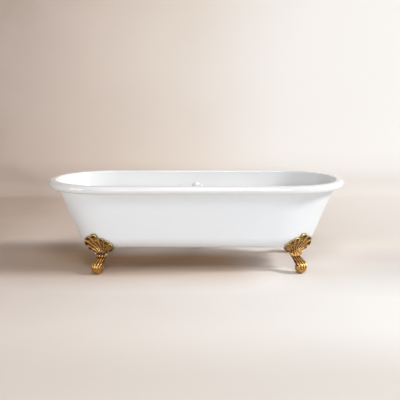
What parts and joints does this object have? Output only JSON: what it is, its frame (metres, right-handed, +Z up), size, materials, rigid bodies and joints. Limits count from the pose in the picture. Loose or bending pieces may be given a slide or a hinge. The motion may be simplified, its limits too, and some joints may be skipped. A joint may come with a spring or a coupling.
{
  "type": "bathtub",
  "caption": "Double-ended roll-top cast iron bath with enamel bowl, scallop-and-ball claw feet, overflow and lift-and-turn waste.",
  "frame": {"origin": "middle of the tub on the floor", "axes": "+X along the tub to the right, +Y to the back, where the overflow is, +Z up"},
  "size_m": [1.83, 0.78, 0.544],
  "materials": {
    "enamel": "white vitreous enamel, gloss",
    "antique_brass": "cast, antique brass with brown patina in the grooves",
    "zinc_steel": "zinc plated",
    "chrome": "polished chrome plate",
    "brass": "turned, bare",
    "rubber": "matt black rubber"
  },
  "bodies": {
    "tub": {"tub_shell": "enamel", "front_left_foot": "antique_brass", "front_right_foot": "antique_brass", "back_left_foot": "antique_brass", "back_right_foot": "antique_brass", "foot_bolts": "zinc_steel", "foot_washers": "zinc_steel", "foot_pads": "rubber", "drain_gasket": "rubber", "drain_flange": "chrome", "drain_washer": "rubber", "drain_shoe": "chrome", "stopper_post": "brass", "waste_tube": "chrome", "waste_tee": "chrome", "tailpiece": "chrome", "overflow_tube": "chrome", "overflow_elbow": "chrome", "overflow_gasket": "rubber", "overflow_plate": "chrome", "overflow_screws": "chrome", "slip_nuts": "chrome", "slip_washers": "rubber"},
    "stopper_lift": {"stopper_sleeve": "brass"},
    "stopper_top": {"stopper_seal": "rubber", "stopper_cap": "chrome", "stopper_knob": "chrome"}
  },
  "joints": [
    {"name": "stopper_slide", "type": "slide", "parent": "tub", "child": "stopper_lift", "axis": [0, 0, 1], "range_m": [0, 0.012]},
    {"name": "stopper_turn", "type": "hinge", "parent": "stopper_lift", "child": "stopper_top", "pos_m": [0.006, 0.12, 0.15], "axis": [0, 0, 1], "range_deg": [0, 90]}
  ]
}
